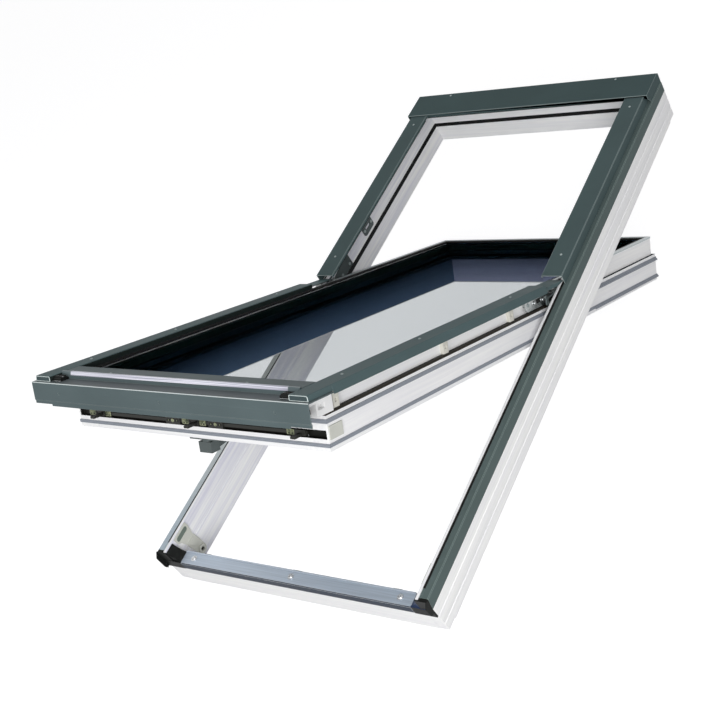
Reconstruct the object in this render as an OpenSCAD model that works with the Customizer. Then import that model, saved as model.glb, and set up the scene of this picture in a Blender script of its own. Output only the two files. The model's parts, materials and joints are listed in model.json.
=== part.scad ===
// Centre-pivot roof skylight: pivoting glazed sash in its mounting frame, shown opened.
// X runs across the window, Y up the roof slope, Z outward from the roof; origin at the
// centre of the frame's room-side plane. Sizes in millimetres.

/* [Frame] */
// Overall width of the frame
frame_w = 780; // [700:10:860]
// Overall length of the frame, sill to head
frame_l = 1600; // [1500:10:1700]
// Depth of the white frame timber
frame_d = 116; // [112:1:120]
// Thickness of the jambs
jamb_t = 29; // [27:1:32]
// Thickness of the sill
sill_t = 30; // [26:1:32]
// Drop from the top of the jamb timber to the top of the sill timber
sill_drop = 32; // [28:1:36]
// Thickness of the head
head_t = 32; // [28:1:34]
// Depth of the channel's outer face below the top of the jamb timber
channel_drop = 28; // [24:1:32]
// Sheet thickness of the aluminium channels
sheet = 2; // [1.5:0.1:2.2]

/* [Frame covers] */
// Height of the side covers above the channel
cover_rise = 27.5; // [27:0.5:30]
// Visible width of an upper side cover
cover_w = 56; // [54:1:58]
// Slope position of the lower ends of the upper side covers
cover_end = 64; // [62:1:68]
// Length of the head cover along the slope
hood_l = 95; // [90:1:104]

/* [Sash] */
// Gap between the jamb and the sash
side_gap = 13; // [12:0.5:14]
// Face width of the sash stiles and rails
stile_w = 56; // [50:1:60]
// Height of the sash underside above the frame underside when closed
sash_lift = 14; // [13:1:15]
// Clearance from the top of the sash walls up to the top of the frame covers
cover_gap = 11.5; // [11:0.5:12.5]
// Depth of the sash from its ledge to the top of its walls
ledge_drop = 48; // [46:1:50]
// Gap between the sill and the bottom rail
foot_gap = 36; // [34:1:38]
// Gap between the head and the top rail
top_gap = 50; // [46:1:54]
// Distance from the side of the frame in to the outer edge of a sash cover
cover_inset = 9; // [8:1:11]
// Slope position of the fascia front, below the frame end
fascia_out = 13; // [12:1:18]
// Height of the fascia
fascia_h = 51; // [46:1:52]
// Drop from the raised inner part of the bottom cover to its fold
fold_drop = 12; // [10:1:13]
// Step down of the tongue that slides under a frame cover
tongue_step = 6.5; // [6.5:0.5:7]

/* [Glazing] */
// Thickness of the outer pane
pane_out = 5; // [4:0.5:6]
// Thickness of the inner pane
pane_in = 5; // [4:0.5:6]
// Width of the spacer bars
spacer_w = 12; // [8:1:14]

/* [Pivot] */
// Slope position of the turning axis
pivot_y = 86; // [84:1:88]
// Height of the turning axis above the jamb timber
pivot_rise = 146; // [145:1:148]
// Radius of the curved slots
arc_r = 158; // [157:1:159]
// Radius of the guide pins
pin_r = 5; // [4:0.5:5.5]
// Opening angle of the sash as drawn
open_angle = 34.5; // [30:0.5:36]

/* [Hardware] */
// Width of the curved corner gussets on the sill
gusset_w = 27; // [24:1:40]
// Length of the handle bar
bar_l = 83; // [70:1:95]
// Height of the handle hub
hub_h = 26; // [22:1:30]
// Travel of the lock bar
lock_travel = 22; // [20:1:24]

/* [Hidden] */
hw = frame_w / 2;
hl = frame_l / 2;
ji = hw - jamb_t;
si = -(hl - sill_t);
hi = hl - head_t;
sill_h = frame_d - sill_drop;
white_h = frame_d - channel_drop;
pivot_z = frame_d + pivot_rise;
seal_y = pivot_y + 10;
chan_z = frame_d + sheet;
lip_z = chan_z + 3;
cz = chan_z + cover_rise;
sash_cover_x = hw - cover_inset;
cxo = hw - 12;
cxi = cxo - cover_w;
hood_z = cz + 4;
hood_y = hl + 2 - hood_l;
seal_z0 = frame_d - 62;
seal_z1 = frame_d - 50;
sill_z = sill_h + sheet;
sx = ji - side_gap;
sxw = sx - 8;
sxg = sxw - 7;
sxi = sx - stile_w;
s0 = sash_lift;
s3 = cz - cover_gap;
s1 = s3 - ledge_drop;
s2 = s1 + 4;
step = (s1 - s0) / 72;
syb = si + foot_gap;
syt = hi - top_gap;
syb_i = syb + stile_w;
syt_i = syt - stile_w;
lip_w = 6;
plug_lap = 6;
gusset_sag = 3;
gasket_t = 5;
strip_w = 6;
gx = sxg - 2;
gyb = syb + 17;
gyt = syt - 17;
g0 = s2 + 2;
g1 = g0 + pane_in;
g5 = s3 - 4;
g4 = g5 - pane_out;
g2 = g1 + 11;
g3 = g2 + 3;
sct = cz + 1.8;
tz = sct - tongue_step;
scx0 = sxg - 2;
fy = -(hl + fascia_out);
fz = sct - fold_drop;
in_z0 = s0 + 9 * step;
in_z1 = s0 + 16 * step;
out_z0 = s0 + 56 * step;
out_z1 = s0 + 64 * step;
groove_z0 = s0 + 25 * step;
groove_z1 = groove_z0 + 17;
nose_x = [-hw + 110, 0, hw - 110];
guide_x = [-60, 60];
fixing_x = [-hw + 90, 0, hw - 90];
bar_x0 = -sx + 30;
bar_x1 = sx - 52;
plate_z0 = pivot_z - arc_r - 35;
plate_z1 = pivot_z - arc_r * cos(36) - 14;
plate_y = arc_r * sin(36) + 3;
hinge_screw_y = [-plate_y + 12, -40, 40, plate_y - 12];
kz = chan_z / 118;
catch_z = chan_z - 26;
catch_y = cover_end + 240;
slide_gap = 0.05;
clip_y = [syb + 35, syb + 404, cover_end - 124];
hinge_holes = [for (p = [[-74, 25], [-27, 24], [11, 24], [46, -1], [90, -1]]) [pivot_y + p[0], s1 + p[1]]];
hand_x = 14;
hand_y = syb + 18;
e = 0.02;

// Profile in X and Z drawn along the slope; sd is 1 on the right, -1 on the left.
module along(pts, y0, y1, sd = 1) {
    translate([0, y1, 0]) rotate([90, 0, 0]) linear_extrude(height = y1 - y0)
        polygon([for (p = pts) [sd * p[0], p[1]]]);
}

// Profile in Y and Z drawn across the window.
module across(pts, x0, x1) {
    translate([x0, 0, 0]) rotate([90, 0, 90]) linear_extrude(height = x1 - x0) polygon(pts);
}

// Box between two corners; works on either side.
module blk(x0, x1, y0, y1, z0, z1, sd = 1) {
    translate([sd > 0 ? x0 : -x1, y0, z0]) cube([x1 - x0, y1 - y0, z1 - z0]);
}

// Rod along X.
module rod_x(x0, x1, y, z, r, sd = 1, n = 24) {
    translate([sd > 0 ? x0 : -x1, y, z]) rotate([0, 90, 0]) cylinder(h = x1 - x0, r = r, $fn = n);
}

// Rectangular ring, xo and xn outer and inner half-widths.
module ring(xo, xn, yb, yt, w, z0, z1) {
    difference() {
        blk(-xo, xo, yb, yt, z0, z1);
        blk(-xn, xn, yb + w, yt - w, z0 - 1, z1 + 1);
    }
}

// Low domed screw head standing on a face that looks outward.
module pip(x, y, z, r = 3.2) {
    translate([x, y, z]) cylinder(h = 0.8, r = r, $fn = 20);
    translate([x, y, z + 0.8]) cylinder(h = 1.2, r1 = r * 0.85, r2 = r * 0.35, $fn = 20);
}

// The sash is drawn closed and turned to its open position.
module opened() {
    translate([0, pivot_y, pivot_z]) rotate([-open_angle, 0, 0])
        translate([0, -pivot_y, -pivot_z]) children();
}

// Sector of a disc in the hinge plane, angles from straight down, towards the head.
module sector(x0, x1, r0, r1, a0, a1, sd) {
    intersection() {
        difference() {
            rod_x(x0, x1, pivot_y, pivot_z, r1, sd, 96);
            rod_x(x0 - 1, x1 + 1, pivot_y, pivot_z, r0, sd, 96);
        }
        across([[pivot_y, pivot_z],
            [pivot_y + 2 * arc_r * sin(a0), pivot_z - 2 * arc_r * cos(a0)],
            [pivot_y + 2 * arc_r * sin(a1), pivot_z - 2 * arc_r * cos(a1)]],
            sd > 0 ? x0 - 1 : -x1 - 1, sd > 0 ? x1 + 1 : -x0 + 1);
    }
}

// White timber jamb: raised inner lip, rebate for the channel, two long grooves outside and
// a seal groove inside.
module jamb(sd) {
    color([0.93, 0.93, 0.94]) difference() {
        along([[ji, 2], [ji + 2, 0], [hw - 2, 0], [hw, 2], [hw, white_h - 61],
            [hw - 1.5, white_h - 59.5], [hw - 1.5, white_h - 57.5], [hw, white_h - 56],
            [hw, white_h - 30], [hw - 1.5, white_h - 28.5], [hw - 1.5, white_h - 26.5],
            [hw, white_h - 25], [hw, white_h], [hw - sheet, white_h], [hw - sheet, frame_d],
            [ji + lip_w, frame_d],
            [ji + lip_w, lip_z - 1], [ji + lip_w - 1, lip_z], [ji + 1, lip_z], [ji, lip_z - 1]],
            -hl, hl, sd);
        blk(ji - 1, ji + 3, seal_y, hl - head_t + 1, seal_z0, seal_z1, sd);
        blk(ji - 1, ji + 1.2, -hl - 1, seal_y, seal_z1 - 1, seal_z1 + 1, sd);
        blk(ji - 1, hw + 1, -hl - 1, si, -1, 5, sd);
        blk(ji - 1, hw + 1, hi, hl + 1, -1, 5, sd);
    }
}
module frame_jamb_left() jamb(-1);
module frame_jamb_right() jamb(1);

// Head between the jambs, with the seal groove and a rebate for its channel.
module frame_head() {
    color([0.93, 0.93, 0.94]) difference() {
        across([[hi, 2], [hi + 2, 0], [hl - 2, 0], [hl, 2], [hl, white_h], [hl - sheet, white_h],
            [hl - sheet, frame_d], [hi + lip_w, frame_d], [hi + lip_w, lip_z - 1],
            [hi + lip_w - 1, lip_z], [hi + 1, lip_z], [hi, lip_z - 1]], -ji, ji);
        blk(-ji - 1, ji + 1, hi - 1, hi + 3, seal_z0, seal_z1);
    }
}

// Sill between the jambs, its lower front face left plain.
module frame_sill() {
    color([0.93, 0.93, 0.94]) across([[si, 2], [si - 2, 0], [-hl + 2, 0], [-hl, 2], [-hl, sill_h],
        [si, sill_h]], -ji, ji);
}

// Aluminium channel capping a jamb: outer face and top, cut back at a slant above the sill.
module channel_cut() {
    across([[-hl - 1, white_h], [-hl, white_h], [-hl + plug_lap, chan_z + 1], [-hl - 1, chan_z + 1]],
        -hw - 1, hw + 1);
}
module channel_shape(y0, y1, sd) {
    along([[hw - sheet, white_h], [hw, white_h], [hw, chan_z - 2], [hw - 2, chan_z],
        [ji + lip_w + strip_w, chan_z], [ji + lip_w + strip_w, chan_z - 0.6],
        [ji + lip_w, chan_z - 0.6], [ji + lip_w, frame_d], [hw - sheet, frame_d]], y0, y1, sd);
}
module side_channel(sd) {
    color([0.34, 0.39, 0.38]) difference() {
        channel_shape(-hl, hl, sd);
        channel_cut();
    }
}
module side_channel_left() side_channel(-1);
module side_channel_right() side_channel(1);

// Channel capping the head between the side channels.
module head_channel() {
    color([0.34, 0.39, 0.38]) across([[hi + lip_w, frame_d], [hl - sheet, frame_d],
        [hl - sheet, white_h], [hl, white_h], [hl, chan_z], [hi + lip_w, chan_z]], -ji, ji);
}

// Black rubber strips in the top grooves of the side channels.
module channel_strips() {
    color([0.04, 0.04, 0.05]) for (sd = [-1, 1])
        along([[ji + lip_w, chan_z - 0.6], [ji + lip_w + strip_w, chan_z - 0.6],
            [ji + lip_w + strip_w - 0.5, chan_z + 0.6], [ji + lip_w + strip_w / 2, chan_z + 1.4],
            [ji + lip_w + 0.5, chan_z + 0.6]], -hl + plug_lap + 22, hl - 1, sd);
}

// Folded hood over the head: bevelled top, back apron, end walls and a front lip.
module head_cover() {
    color([0.345, 0.404, 0.408]) {
        across([[hood_y, hood_z - 2], [hood_y, hood_z - 1], [hood_y + 1, hood_z],
            [hl - 3, hood_z], [hl + 2, hood_z - 4], [hl + 2, chan_z - 6], [hl, chan_z - 6],
            [hl, hood_z - 5], [hl - 4, hood_z - 2]], -hw + 2, hw - 2);
        for (sd = [-1, 1]) across([[hood_y, hood_z - 1], [hood_y, cz - 8], [hood_y + 12, chan_z],
            [hl + 1, chan_z], [hl + 1, hood_z - 4], [hl - 3, hood_z - 1]],
            sd > 0 ? hw - 4 : -hw + 2, sd > 0 ? hw - 2 : -hw + 4);
        blk(-cxi + 2, cxi - 2, hood_y, hood_y + 2, hood_z - 11, hood_z - 1);
    }
}

// Grey cover along the upper part of a jamb, hollow beneath and open at its lower end.
module upper_cover(sd) {
    color([0.36, 0.42, 0.42]) along([[cxi, cz - 8], [cxi, cz - 1.5], [cxi + 1.5, cz],
        [cxo - 1.5, cz], [cxo, cz - 1.5], [cxo, chan_z], [cxo - 2, chan_z], [cxo - 2, cz - 2],
        [cxi + 2, cz - 2], [cxi + 2, cz - 8]], cover_end, hl - 4, sd);
}
module upper_cover_left() upper_cover(-1);
module upper_cover_right() upper_cover(1);

// Rubber edge under the upper covers and the hood that closes on the glass.
module upper_seal() {
    color([0.04, 0.04, 0.05]) {
        for (sd = [-1, 1]) along([[cxi, cz - 8], [cxi + 2, cz - 8], [cxi + 2.4, cz - 9.5],
            [cxi + 1, cz - 10.5], [cxi, cz - 9.5]], pivot_y + 10, syt - 22, sd);
        blk(-cxi - 1, cxi + 1, hood_y, hood_y + 2, cz - 9, cz - 8);
        blk(-cxi + 2, cxi - 2, hood_y, hood_y + 2, cz - 8, cz - 7);
    }
}

// Black strip set in the inner faces of the upper jambs and the head.
module frame_seal() {
    color([0.05, 0.05, 0.05]) {
        for (sd = [-1, 1]) along([[ji + 3, seal_z0], [ji + 3, seal_z1], [ji - 1, seal_z1],
            [ji - 6, seal_z1 - 4], [ji - 7, seal_z1 - 6], [ji - 6, seal_z0 + 4],
            [ji - 1, seal_z0]], seal_y, hi - 2, sd);
        across([[hi + 3, seal_z0], [hi + 3, seal_z1], [hi - 1, seal_z1], [hi - 6, seal_z1 - 4],
            [hi - 7, seal_z1 - 6], [hi - 6, seal_z0 + 4], [hi - 1, seal_z0]], -ji, ji);
    }
}

// Aluminium sill flashing: top strip, inner hem, overhanging front with a drip fold.
module sill_flashing() {
    color([0.62, 0.66, 0.70]) difference() {
        across([[si, sill_h], [si, sill_z + 3], [si - 3, sill_z + 3], [si - 3, sill_z],
            [-hl - 2, sill_z], [-hl - 4, sill_z - 2], [-hl - 4, sill_z - 22],
            [-hl - 1, sill_z - 24], [-hl - 1, sill_z - 21.5], [-hl - 2, sill_z - 20.5],
            [-hl - 2, sill_h]], -ji + gusset_w, ji - gusset_w);
        for (x = fixing_x)
            translate([x, -hl + 14, sill_h - 1]) cylinder(h = 6, r = 2.6, $fn = 20);
    }
}

// Round-headed screws through the flashing.
module sill_screws() {
    color([0.75, 0.76, 0.78]) for (x = fixing_x) difference() {
        union() {
            translate([x, -hl + 14, sill_z]) cylinder(h = 1.2, r = 7.5, $fn = 28);
            translate([x, -hl + 14, sill_z + 1.2]) cylinder(h = 1.8, r1 = 5.5, r2 = 3.5, $fn = 24);
            translate([x, -hl + 14, sill_h + e]) cylinder(h = 3, r = 2.5, $fn = 20);
        }
        for (a = [0, 90]) translate([x, -hl + 14, sill_z + 3.2]) rotate([0, 0, a])
            cube([5, 1, 2], center = true);
    }
}

// Black moulded corner piece: hollowed gusset on the sill, end cap, lap over the channel, a
// front lip and an outer fin with a small hook.
module corner_plug(sd) {
    fin_z = sd > 0 ? sill_z - 8 : sill_z - 24;
    color([0.03, 0.035, 0.04]) {
        along(concat([[ji, sill_h], [ji, chan_z - 2]],
            [for (k = [1:5]) [ji - gusset_w * k / 6 + gusset_sag * sin(30 * k),
                chan_z - 2 - (chan_z - 2 - sill_z) * k / 6 - gusset_sag * sin(30 * k)]],
            [[ji - gusset_w, sill_z], [ji - gusset_w, sill_h]]), -hl, si - 2, sd);
        blk(ji - gusset_w, hw, -hl - 4, -hl, sill_z - 24, sill_z + 1, sd);
        blk(ji - 2, hw, -hl - 3, -hl, sill_z, chan_z, sd);
        intersection() {
            channel_shape(-hl, -hl + plug_lap + 1, sd);
            channel_cut();
        }
        across([[-hl - 2, fin_z], [-hl - 12, fin_z + 4], [-hl - 14, fin_z + 10],
            [-hl - 14, chan_z - 10], [-hl - 2, chan_z + 2]],
            sd > 0 ? hw - 2 : -hw, sd > 0 ? hw : -hw + 2);
        blk(hw - 8, hw - 1, -hl - 12, -hl - 10, fin_z + 5, fin_z + 9, sd);
    }
}
module corner_plug_left() corner_plug(-1);
module corner_plug_right() corner_plug(1);

// Frame half of the pivot hinge: plate with a curved slot that guides the sash pins.
module hinge_frame(sd) {
    color([0.45, 0.47, 0.48]) difference() {
        union() {
            sector(ji - 3, ji, arc_r - 9.5, arc_r + 9.5, -36, 36, sd);
            difference() {
                blk(ji - 3, ji, pivot_y - plate_y, pivot_y + plate_y, plate_z0, plate_z1, sd);
                rod_x(ji - 4, ji + 1, pivot_y, pivot_z, arc_r, sd, 96);
            }
        }
        sector(ji - 4, ji + 1, arc_r - pin_r - 0.2, arc_r + pin_r + 0.2, -30.5, 30.5, sd);
        for (a = [-30.5, 30.5]) rod_x(ji - 4, ji + 1, pivot_y + arc_r * sin(a),
            pivot_z - arc_r * cos(a), pin_r + 0.2, sd);
        for (y = hinge_screw_y) rod_x(ji - 4, ji + 1, pivot_y + y, plate_z0 + 11, 2.6, sd, 20);
    }
}
module hinge_frame_left() hinge_frame(-1);
module hinge_frame_right() hinge_frame(1);

// Keeper plate near the sill: slotted upper end tapering to a boss with a square hole.
module keeper(sd) {
    ky = si + 42;
    x0 = sd > 0 ? ji - 3 : -ji;
    x1 = sd > 0 ? ji : -ji + 3;
    color([0.62, 0.61, 0.57]) difference() {
        union() {
            across([for (p = [[-36, 118], [14, 118], [15, 106], [9, 80], [13, 52], [14, 26], [-14, 26],
                [-16, 40], [-21, 72], [-27, 92], [-36, 99]]) [ky + p[0], p[1] * kz]], x0, x1);
            rod_x(ji - 3, ji, ky, 26 * kz, 14, sd, 48);
            rod_x(ji - 6, ji - 2, ky, 26 * kz, 12, sd, 40);
            across([for (p = [[-18, 76], [1, 76], [6, 50], [-9, 50]]) [ky + p[0], p[1] * kz]],
                sd > 0 ? ji - 4.5 : -ji + 2, sd > 0 ? ji - 2 : -ji + 4.5);
        }
        blk(ji - 8, ji + 1, ky - 5, ky + 5, 26 * kz - 5, 26 * kz + 5, sd);
        for (y = [ky - 25, ky + 3]) rod_x(ji - 8, ji + 1, y, 106 * kz, 6.6, sd);
        blk(ji - 8, ji + 1, ky - 25, ky + 3, 106 * kz - 6.6, 106 * kz + 6.6, sd);
    }
}
module keeper_left() keeper(-1);
module keeper_right() keeper(1);

// Slotted catch plate on the upper part of a jamb.
module catch_plate(sd) {
    color([0.30, 0.33, 0.33]) difference() {
        union() {
            across([for (p = [[-27, -12], [-27, 12], [-20, 19], [20, 19], [27, 12], [27, -12], [22, -16],
                [-22, -16]]) [catch_y + p[0], catch_z + p[1]]],
                sd > 0 ? ji - 3 : -ji, sd > 0 ? ji : -ji + 3);
            blk(ji - 5, ji - 2, catch_y - 14, catch_y + 14, catch_z + 10, catch_z + 14, sd);
        }
        for (y = [-8, 8]) rod_x(ji - 6, ji + 1, catch_y + y, catch_z, 4, sd);
        blk(ji - 6, ji + 1, catch_y - 8, catch_y + 8, catch_z - 4, catch_z + 4, sd);
        for (y = [-20, 20]) rod_x(ji - 6, ji + 1, catch_y + y, catch_z, 2.6, sd, 20);
    }
}
module catch_plate_left() catch_plate(-1);
module catch_plate_right() catch_plate(1);

// Three strikes on the sill; each lip hooks over a nose of the lock bar.
module lock_strikes() {
    color([0.66, 0.67, 0.68]) for (x = nose_x) {
        difference() {
            blk(x - 40, x + 34, si, si + 3, groove_z0 - 10, groove_z0 + 20);
            for (k = [-33, 27]) translate([x + k, si + 4, groove_z0]) rotate([90, 0, 0])
                cylinder(h = 5, r = 2.6, $fn = 20);
        }
        blk(x - 12 - lock_travel, x + 12 - lock_travel, si + 2, si + 18, groove_z0 + 10,
            groove_z0 + 13);
    }
}

// Small domed screws of the frame covers and the plates on the jambs.
module frame_screws() {
    color([0.70, 0.72, 0.73]) {
        for (sd = [-1, 1]) {
            for (y = [cover_end + 70, hood_y - 36]) pip(sd * (cxo - 28), y, cz);
            pip(sd * (hw - 120), hl - 12, hood_z);
            for (y = hinge_screw_y) rod_x(ji - 4.5, ji - 3, pivot_y + y, plate_z0 + 11, 4.2, sd, 20);
            for (y = [-20, 20]) rod_x(ji - 4.5, ji - 3, catch_y + y, catch_z, 4.2, sd, 20);
        }
    }
}

// Sash stile: moulded white bar with the glass rebate and two shallow seal recesses.
module stile(sd) {
    opened() color([0.94, 0.94, 0.95]) difference() {
        along([[sxi, s0 + 3], [sxi + 3, s0], [sx - 1, s0], [sx, s0 + 1], [sx, in_z0],
            [sx - 1.5, in_z0], [sx - 1.5, in_z1], [sx, in_z1], [sx, out_z0],
            [sx - 1.5, out_z0], [sx - 1.5, out_z1], [sx, out_z1], [sx, s1], [sxw, s1],
            [sxw, s3], [sxg, s3], [sxg, s2], [sxi + 5, s2], [sxi, s2 - 5]], syb, syt, sd);
        blk(sxi - 1, sx - 4, syb - 1, syb + 9, groove_z0, groove_z1, sd);
        blk(sxi - 1, sx + 1, syb - 1, syb + 8, s1, s3 + 1, sd);
        blk(sxi - 1, sx + 1, syt - 8, syt + 1, s1, s3 + 1, sd);
        blk(sxi - 1, sx + 1, syb - 1, syb + 1.5, in_z0, in_z1, sd);
        blk(sxi - 1, sx + 1, syb - 1, syb + 1.5, out_z0, out_z1, sd);
        blk(sxi - 1, sx + 1, syt - 1.5, syt + 1, in_z0, in_z1, sd);
        blk(sxi - 1, sx + 1, syt - 1.5, syt + 1, out_z0, out_z1, sd);
    }
}
module sash_stile_left() stile(-1);
module sash_stile_right() stile(1);

// Bottom rail with the hardware groove in its outer face.
module sash_bottom_rail() {
    opened() color([0.94, 0.94, 0.95]) difference() {
        union() {
            across([[syb_i, s0 + 3], [syb_i - 3, s0], [syb + 1, s0], [syb, s0 + 1], [syb, in_z0],
                [syb + 1.5, in_z0], [syb + 1.5, in_z1], [syb, in_z1], [syb, groove_z0],
                [syb + 9, groove_z0], [syb + 9, groove_z1], [syb, groove_z1], [syb, out_z0],
                [syb + 1.5, out_z0], [syb + 1.5, out_z1], [syb, out_z1], [syb, s1],
                [syb + 8, s1], [syb + 8, s2], [syb_i - 5, s2], [syb_i, s2 - 5]], -sxi, sxi);
            blk(-sxg, sxg, syb + 8, syb + 15, s2, s3);
            blk(-sxi, sxi, syb + 8, syb + 15, s2 - 2, s2 + 1);
        }
        translate([hand_x, hand_y, s0 - 1]) cylinder(h = 8, r = 7, $fn = 32);
    }
}

// Top rail.
module sash_top_rail() {
    opened() color([0.94, 0.94, 0.95]) {
        across([[syt_i, s0 + 3], [syt_i + 3, s0], [syt - 1, s0], [syt, s0 + 1], [syt, in_z0],
            [syt - 1.5, in_z0], [syt - 1.5, in_z1], [syt, in_z1], [syt, out_z0],
            [syt - 1.5, out_z0], [syt - 1.5, out_z1], [syt, out_z1], [syt, s1],
            [syt - 8, s1], [syt - 8, s2], [syt_i + 5, s2], [syt_i, s2 - 5]], -sxi, sxi);
        blk(-sxg, sxg, syt - 15, syt - 8, s2, s3);
        blk(-sxi, sxi, syt - 15, syt - 8, s2 - 2, s2 + 1);
    }
}

// Triple glazing: three panes on spacers, with a sealed edge and a bedding tape.
module outer_pane() opened() color([0.80, 0.86, 0.88, 0.3]) blk(-gx, gx, gyb, gyt, g4, g5);
module middle_pane() opened() color([0.80, 0.86, 0.88, 0.3])
    blk(-gx, gx, gyb, gyt, g2, g3);
module inner_pane() opened() color([0.80, 0.86, 0.88, 0.3]) blk(-gx, gx, gyb, gyt, g0, g1);
module outer_spacer() opened() color([0.10, 0.14, 0.22])
    ring(gx - 8, gx - 8 - spacer_w, gyb + 8, gyt - 8, spacer_w, g3, g4);
module inner_spacer() opened() color([0.22, 0.26, 0.34])
    ring(gx - 8, gx - 8 - spacer_w, gyb + 8, gyt - 8, spacer_w, g1, g2);
module edge_sealant() opened() color([0.03, 0.03, 0.03]) {
    ring(gx, gx - 8, gyb, gyt, 8, g3, g4);
    ring(gx, gx - 8, gyb, gyt, 8, g1, g2);
}
module bedding_tape() opened() color([0.10, 0.10, 0.11])
    ring(gx, gx - 26, gyb, gyt, 26, s2, g0);

// Black rubber frame holding the outer pane down against the sash walls.
module glass_edge_seal() {
    opened() color([0.03, 0.03, 0.03])
        ring(sxg, sxg - 11, syb + 15, syt - 15, 11, g5, s3 + 0.5);
}

// Bright aluminium strip along the upper edges of the sash.
module edge_strip() {
    opened() color([0.66, 0.69, 0.70]) {
        for (sd = [-1, 1]) along([[sxg - 2, s3 + 0.5], [sxg, s3 + 0.5], [sxg, s3], [sxw, s3],
            [sxw, s3 - 3], [sxw + 1.5, s3 - 3], [sxw + 1.5, s3 + 2], [sxg - 2, s3 + 2]],
            pivot_y + 74, syt - 8, sd);
        across([[syt - 17, s3 + 0.5], [syt - 15, s3 + 0.5], [syt - 15, s3], [syt - 8, s3],
            [syt - 8, s3 - 3], [syt - 6.5, s3 - 3], [syt - 6.5, s3 + 2], [syt - 17, s3 + 2]],
            -sxg, sxg);
    }
}

// Grey cover along the lower part of a stile; a flat tongue slides under the frame cover.
module sash_cover(sd) {
    opened() color([0.40, 0.46, 0.46]) {
        along([[scx0, s3 + 0.5], [scx0, sct - 1.5], [scx0 + 1.5, sct], [sash_cover_x - 8, sct],
            [sash_cover_x - 6, sct - 1.5], [sash_cover_x, s3 - 4], [sash_cover_x - 2, s3 - 4],
            [sash_cover_x - 8.5, sct - 2], [scx0 + 2, sct - 2], [scx0 + 2, s3 + 0.5]],
            syb - 2, cover_end - 6, sd);
        along([[scx0, fz], [scx0, sct - 1.5], [scx0 + 1.5, sct], [sash_cover_x - 8, sct],
            [sash_cover_x - 6, sct - 1.5], [sash_cover_x - 4.5, fz],
            [sash_cover_x - 6.8, fz], [sash_cover_x - 8.5, sct - 2], [scx0 + 2, sct - 2],
            [scx0 + 2, fz]], fy + 9, syb - 1, sd);
        along([[scx0 + 1, fz], [scx0 + 1, sct - 1], [sash_cover_x - 7, sct - 1],
            [sash_cover_x - 5.2, fz]], fy + 9, fy + 11, sd);
        along([[scx0 + 2, tz - 2], [scx0 + 2, tz], [sash_cover_x - 8, tz],
            [sash_cover_x - 8, tz - 2]], cover_end - 7, pivot_y + 60, sd);
        across([[cover_end - 7, tz - 1], [pivot_y + 60, tz - 1], [pivot_y + 60, tz - 2],
            [pivot_y + 32, tz - 9], [cover_end - 7, tz - 9]],
            sd > 0 ? sash_cover_x - 10 : -sash_cover_x + 8, sd > 0 ? sash_cover_x - 8 : -sash_cover_x + 10);
        along([[scx0 + 2, tz - 2], [scx0 + 2, sct - 1], [sash_cover_x - 7.5, sct - 1],
            [sash_cover_x - 8, tz - 2]], cover_end - 8, cover_end - 6, sd);
    }
}
module sash_cover_left() sash_cover(-1);
module sash_cover_right() sash_cover(1);

// Bottom cover: raised inner flange, a step with a ridge, and the folded fascia.
module sash_cover_bottom() {
    opened() color([0.36, 0.42, 0.43]) difference() {
        union() {
        across([[syb + 9, s3 + 1], [syb + 9, sct - 1.5], [syb + 7.5, sct], [syb - 31, sct],
            [syb - 33, sct + 2.5], [syb - 37, sct + 2.5], [syb - 39.2, fz + 6.8], [syb - 42, fz],
            [fy + 1.5, fz], [fy, fz - 1.5],
            [fy, fz - fascia_h + 12], [fy + 1.5, fz - fascia_h + 10], [fy + 1.5, fz - fascia_h],
            [fy + 3.5, fz - fascia_h], [fy + 3.5, fz - fascia_h + 11], [fy + 2, fz - fascia_h + 13],
            [fy + 2, fz - 2], [syb - 41, fz - 2], [syb - 37, sct - 2], [syb + 7, sct - 2],
            [syb + 7, s3 + 1]], -scx0 + 1, scx0 - 1);
        for (sd = [-1, 1])
            across([[syb - 4, fz - 2], [syb - 4, fz], [fy + 1.5, fz], [fy, fz - 1.5],
                [fy, fz - fascia_h + 12], [fy + 1.5, fz - fascia_h + 10],
                [fy + 1.5, fz - fascia_h + 4], [fy + 3.5, fz - fascia_h + 4],
                [fy + 3.5, fz - fascia_h + 11], [fy + 2, fz - fascia_h + 13], [fy + 2, fz - 2]],
                sd > 0 ? scx0 - 2 : -sash_cover_x - 1, sd > 0 ? sash_cover_x + 1 : -scx0 + 2);
        }
        for (x = fixing_x) translate([x, fy + 1, fz - 22]) rotate([90, 0, 0])
            cylinder(h = 2, r = 3.4, $fn = 20);
    }
}

// White clips between the stiles and their covers, each with a slot.
module cover_clips() {
    opened() color([0.90, 0.90, 0.90]) for (sd = [-1, 1]) for (y = clip_y)
        difference() {
            union() {
                blk(sxw, sxw + 4, y - 15, y + 15, s3 - 16, sct - 2, sd);
                blk(sxw, sxw + 9, y - 9, y + 9, s1 + gasket_t + 0.5, s3 - 5, sd);
            }
            blk(sxw + 5, sxw + 10, y - 2.5, y + 2.5, s1 + 16, s1 + 23, sd);
        }
}

// White blocks carrying the bottom cover at the corners of the sash.
module corner_blocks() {
    opened() color([0.92, 0.92, 0.92]) for (sd = [-1, 1]) difference() {
        union() {
            blk(sxw, ji - 5, si + 6, syb + 17, s1 + gasket_t + 0.5, fz - 2, sd);
            blk(sxw - 5, sash_cover_x - 12, fy + 6, syb + 1, chan_z + 5, fz - 2, sd);
        }
        blk(sxw + 5, ji - 3, si + 12, syb - 6, s1 + 18, s1 + 28, sd);
    }
}

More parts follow.
